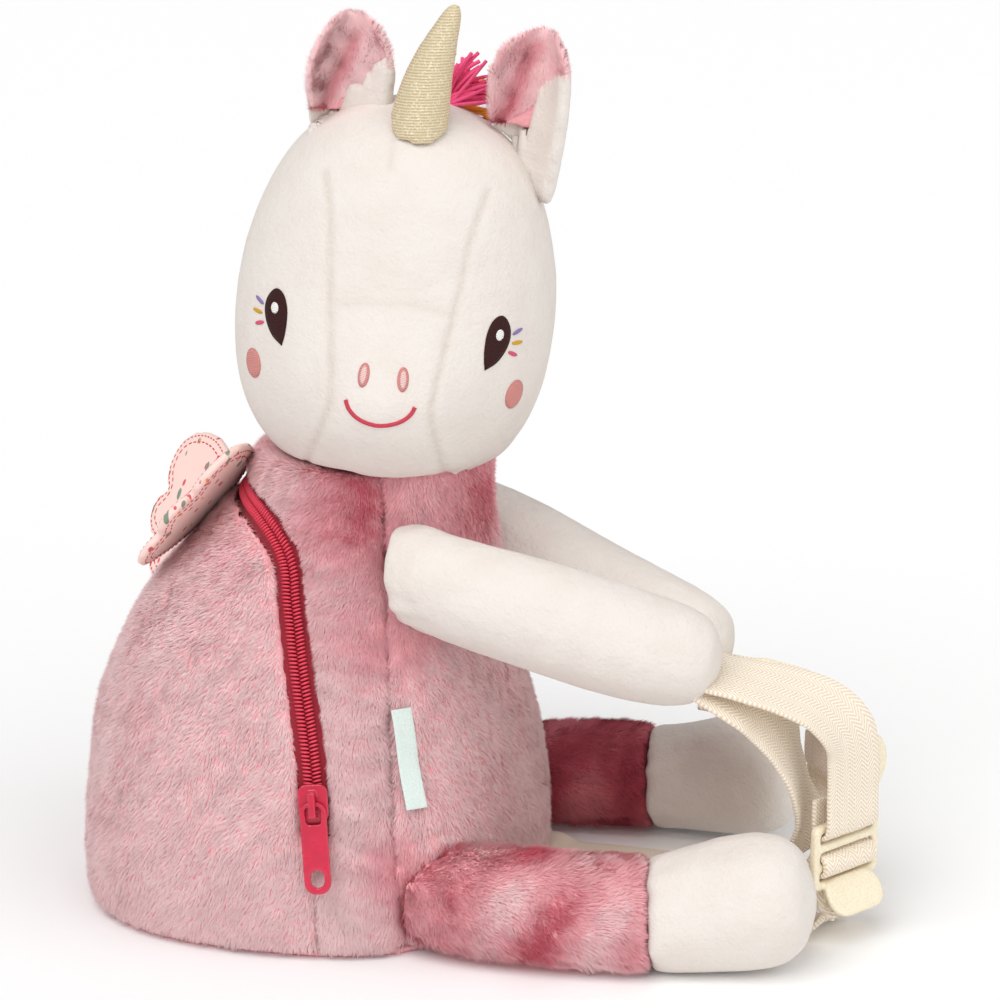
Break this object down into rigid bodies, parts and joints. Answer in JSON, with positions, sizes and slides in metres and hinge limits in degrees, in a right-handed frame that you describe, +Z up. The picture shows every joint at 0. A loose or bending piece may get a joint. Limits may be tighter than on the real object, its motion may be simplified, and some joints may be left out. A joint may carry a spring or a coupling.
{
  "type": "kids animal backpack",
  "caption": "Small child's plush backpack shaped as a seated unicorn with a zipped body; its paws join to webbing shoulder straps with ladder locks.",
  "frame": {"origin": "middle of the bag's underside, on the surface it rests on", "axes": "+Z up, the belly faces -Y, the animal's left side is +X; the head is turned towards -X"},
  "size_m": [0.1809, 0.2848, 0.3159],
  "materials": {
    "plush_rose": "long brushed pile, dusty rose",
    "plush_deep_rose": "long brushed pile, deep rose",
    "velour_cream": "short soft pile, cream",
    "horn_knit": "fine knit with gold metallic yarn",
    "yarn_pink": "brushed yarn, hot pink",
    "yarn_orange": "brushed yarn, orange",
    "yarn_lilac": "brushed yarn, lilac white",
    "wing_print": "quilted printed cotton, pale pink",
    "webbing_cotton": "herringbone cotton webbing, beige",
    "plastic_cream": "moulded, satin, cream",
    "zip_tape_cloth": "woven polyester tape, raspberry",
    "zip_nylon": "nylon coil, raspberry",
    "zip_enamel": "enamelled, raspberry",
    "label_satin": "woven satin, pale mint, left bare"
  },
  "bodies": {
    "bag": {"base_panel": "plush_rose", "belly_panel": "plush_rose", "side_gusset": "plush_rose", "back_panel": "plush_rose", "zip_tape": "zip_tape_cloth", "zip_chain": "zip_nylon", "zip_slider": "zip_enamel", "side_label": "label_satin", "head": "velour_cream", "horn": "horn_knit", "ear_right_outer": "velour_cream", "ear_right_lining": "plush_rose", "ear_left_outer": "velour_cream", "ear_left_lining": "plush_rose", "mane_tuft_pink_top": "yarn_pink", "mane_tuft_orange": "yarn_orange", "mane_tuft_lilac": "yarn_lilac", "mane_tuft_pink_low": "yarn_pink", "arm_right": "velour_cream", "arm_left": "velour_cream", "thigh_right": "plush_rose", "foot_right": "velour_cream", "thigh_left": "plush_deep_rose", "foot_left": "velour_cream", "wing_right": "wing_print", "wing_left": "wing_print", "strap_right_outer": "webbing_cotton", "strap_right_inner": "webbing_cotton", "strap_right_lower": "webbing_cotton", "strap_left_upper": "webbing_cotton", "strap_left_lower": "webbing_cotton", "buckle_right": "plastic_cream", "buckle_left": "plastic_cream", "disc_right": "plastic_cream", "disc_left": "plastic_cream"},
    "zip_pull": {"zip_pull": "zip_enamel"}
  },
  "joints": [
    {"name": "pull_swing", "type": "hinge", "parent": "bag", "child": "zip_pull", "pos_m": [-0.07991, -0.02412, 0.05684], "axis": [-0.2101, 0.9745, -0.0786], "range_deg": [0, 150]}
  ]
}
